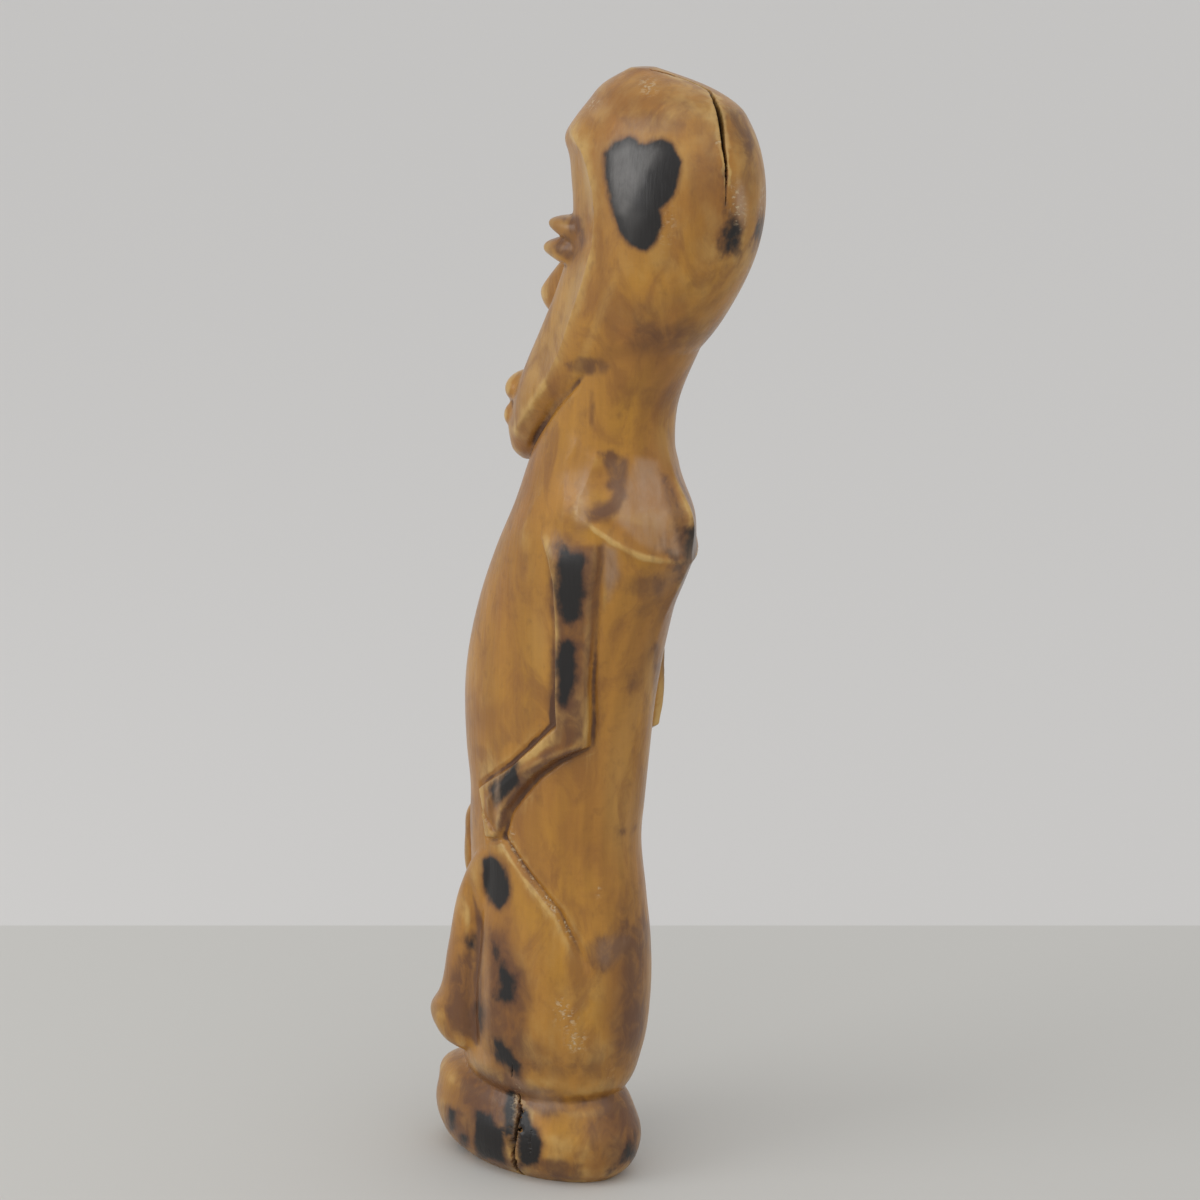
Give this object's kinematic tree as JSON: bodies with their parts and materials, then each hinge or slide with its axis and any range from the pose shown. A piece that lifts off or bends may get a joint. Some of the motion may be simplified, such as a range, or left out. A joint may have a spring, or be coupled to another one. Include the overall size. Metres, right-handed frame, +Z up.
{
  "type": "carved wooden figure",
  "caption": "Squatting wooden figure in one piece: tall hooded head leaning back, hunched shoulders, hands on knees, rounded base.",
  "frame": {"origin": "middle of the flat underside of the base", "axes": "+Z up through the head; the figure faces -Y; its left side is +X"},
  "size_m": [0.0332, 0.077, 0.22],
  "materials": {
    "honey_hardwood": "oiled and rubbed to a low polish, with dark scorched spots"
  },
  "bodies": {
    "root": {"carved_figure": "honey_hardwood"}
  },
  "joints": []
}
